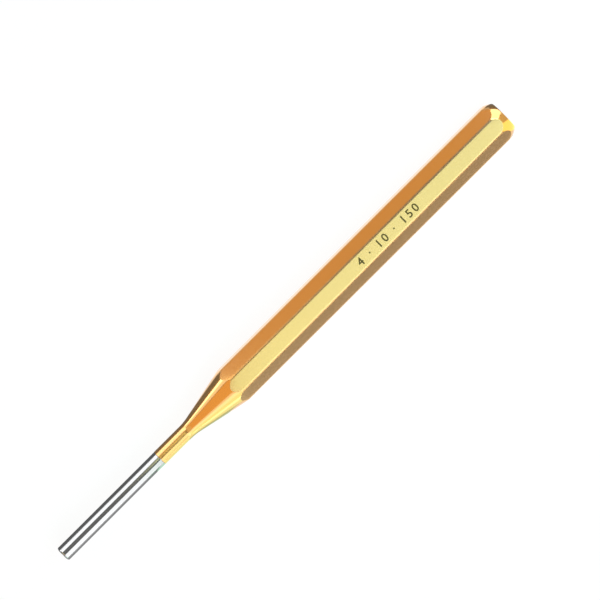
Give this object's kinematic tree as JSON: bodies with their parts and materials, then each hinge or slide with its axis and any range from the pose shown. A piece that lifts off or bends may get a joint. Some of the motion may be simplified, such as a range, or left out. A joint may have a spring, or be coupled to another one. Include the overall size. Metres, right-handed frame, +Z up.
{
  "type": "pin punch",
  "caption": "Parallel pin punch with an octagonal lacquered shank, crowned striking head, turned cone and neck, and a flat-ended bare steel pin.",
  "frame": {"origin": "on the bench under the middle of the punch, which lies on one flat of its shank", "axes": "+X along the punch's axis towards the striking head, +Z up from the bench, +Y to the left of the head"},
  "size_m": [0.15, 0.01, 0.01],
  "materials": {
    "gold_lacquer": "transparent gold lacquer over drawn steel, glossy on the turned surfaces and satin on the flats",
    "bright_steel": "ground bright along a round pin, not coated"
  },
  "bodies": {
    "root": {"shank": "gold_lacquer", "drive_pin": "bright_steel"}
  },
  "joints": []
}
